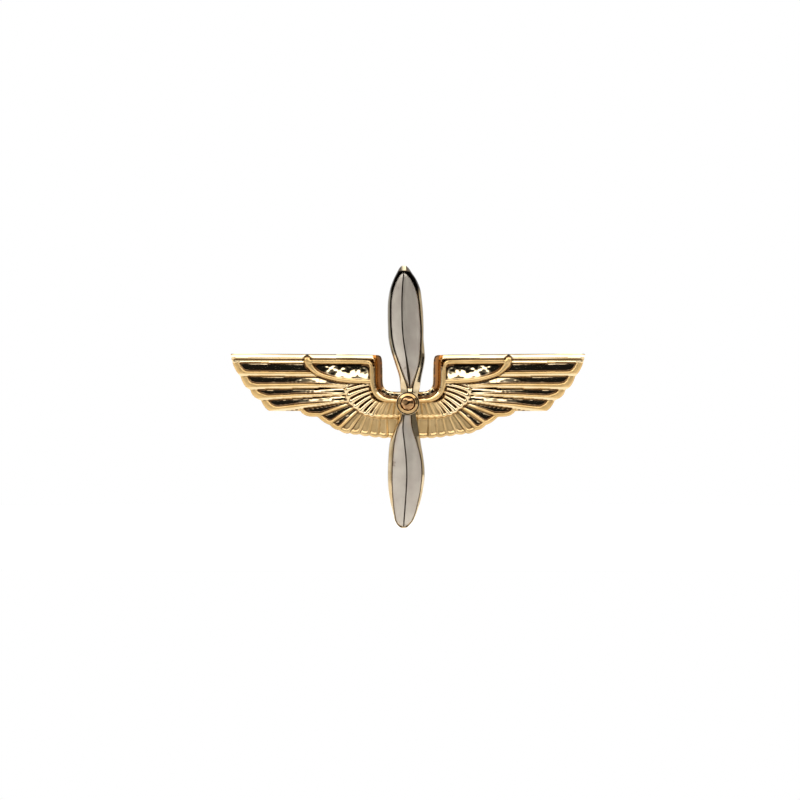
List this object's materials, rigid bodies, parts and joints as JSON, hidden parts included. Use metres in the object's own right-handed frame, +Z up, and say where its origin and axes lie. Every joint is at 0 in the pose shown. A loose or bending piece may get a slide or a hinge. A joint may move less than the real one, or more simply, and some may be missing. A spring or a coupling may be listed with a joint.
{
  "type": "pilot wings pin",
  "caption": "Two-tone wings badge: a propeller with silver blade faces riveted upright over spread gold feathered wings, with a hinged brooch needle and a turning safety catch behind.",
  "frame": {"origin": "on the hub's axis, at the flat rear end of the hub boss, which lies against the cloth", "axes": "+Z up along the propeller, +X to the right as a viewer sees the face, -Y out of the face and +Y into the cloth"},
  "size_m": [0.0288, 0.0057, 0.0213],
  "materials": {
    "gold": "polished gold plating on struck brass",
    "pale_gold": "polished pale gold plating",
    "silver": "satin silver plating",
    "nickel": "nickel-plated steel, lightly brushed",
    "solder": "dull tin solder"
  },
  "bodies": {
    "badge": {"wings_plate": "gold", "propeller": "gold", "upper_blade_face": "silver", "lower_blade_face": "silver", "hub_ring": "pale_gold", "hub_rivet": "gold", "hinge_solder": "solder", "hinge_bracket": "nickel", "hinge_rivet": "nickel", "catch_solder": "solder", "catch_barrel": "nickel"},
    "needle": {"needle": "nickel"},
    "safety_sleeve": {"safety_sleeve": "nickel"}
  },
  "joints": [
    {"name": "needle_hinge", "type": "hinge", "parent": "badge", "child": "needle", "pos_m": [-0.007, 0.0023, 0.00035], "axis": [0, 0, 1], "range_deg": [0, 110]},
    {"name": "sleeve_turn", "type": "hinge", "parent": "badge", "child": "safety_sleeve", "pos_m": [0.00685, 0.0023, 0.00035], "axis": [-1, 0, 0], "range_deg": [0, 150]}
  ]
}
